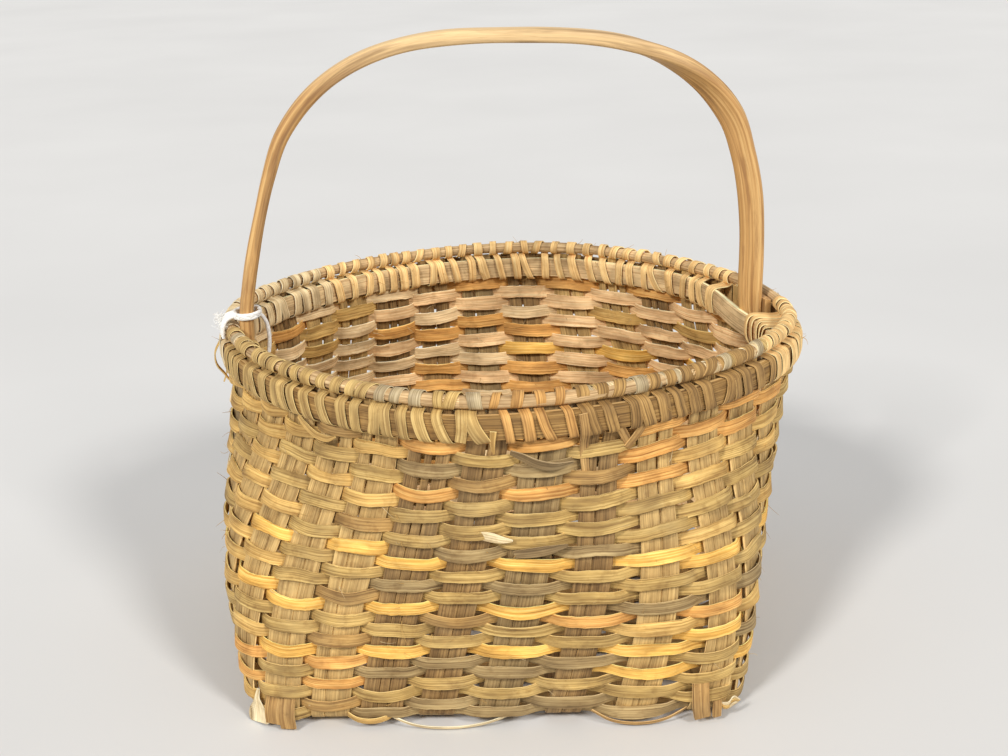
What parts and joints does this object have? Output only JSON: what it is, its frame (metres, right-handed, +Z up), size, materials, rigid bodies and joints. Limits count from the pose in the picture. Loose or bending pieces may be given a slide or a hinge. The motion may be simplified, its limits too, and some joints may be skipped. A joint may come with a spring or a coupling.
{
  "type": "splint gathering basket",
  "caption": "Woven wood splint basket with a square base, a rounder lashed mouth and a fixed bentwood carrying handle.",
  "frame": {"origin": "on the surface that the basket stands on, under the middle of the mouth", "axes": "+Z up, front at -Y, the handle runs along X, turned 7 degrees to the base"},
  "size_m": [0.2977, 0.2777, 0.309],
  "materials": {
    "stake_splint": "old unfinished splint, worn and grey-brown",
    "weaver_splint": "old unfinished splint, honey to grey-brown, fibrous",
    "hoop_wood": "split wood hoop, dry and worn",
    "lashing_splint": "narrow splint, orange-brown to grey",
    "handle_wood": "bent hardwood, rubbed smooth, honey-brown",
    "string": "white cotton string"
  },
  "bodies": {
    "root": {"handle": "handle_wood", "inner_hoop": "hoop_wood", "lashing_back_left": "lashing_splint", "lashing_back_right": "lashing_splint", "lashing_front_left": "lashing_splint", "lashing_front_right": "lashing_splint", "outer_hoop": "hoop_wood", "rim_rod": "hoop_wood", "stake_front_back_1": "stake_splint", "stake_front_back_2": "stake_splint", "stake_front_back_3": "stake_splint", "stake_front_back_4": "stake_splint", "stake_front_back_5": "stake_splint", "stake_front_back_6": "stake_splint", "stake_front_back_7": "stake_splint", "stake_front_back_8": "stake_splint", "stake_left_right_1": "stake_splint", "stake_left_right_2": "stake_splint", "stake_left_right_3": "stake_splint", "stake_left_right_4": "stake_splint", "stake_left_right_5": "stake_splint", "stake_left_right_6": "stake_splint", "stake_left_right_7": "stake_splint", "stake_left_right_8": "stake_splint", "tie_string": "string", "weaver_row_01": "weaver_splint", "weaver_row_02": "weaver_splint", "weaver_row_03": "weaver_splint", "weaver_row_04": "weaver_splint", "weaver_row_05": "weaver_splint", "weaver_row_06": "weaver_splint", "weaver_row_07": "weaver_splint", "weaver_row_08": "weaver_splint", "weaver_row_09": "weaver_splint", "weaver_row_10": "weaver_splint", "weaver_row_11": "weaver_splint", "weaver_row_12": "weaver_splint", "weaver_row_13": "weaver_splint", "weaver_row_14": "weaver_splint", "weaver_row_15": "weaver_splint", "weaver_row_16": "weaver_splint", "weaver_row_17": "weaver_splint", "weaver_row_18": "weaver_splint", "weaver_row_19": "weaver_splint", "weaver_row_20": "weaver_splint", "weaver_row_21": "weaver_splint", "weaver_row_22": "weaver_splint", "weaver_row_23": "weaver_splint", "weaver_row_24": "weaver_splint", "weaver_row_25": "weaver_splint"}
  },
  "joints": []
}
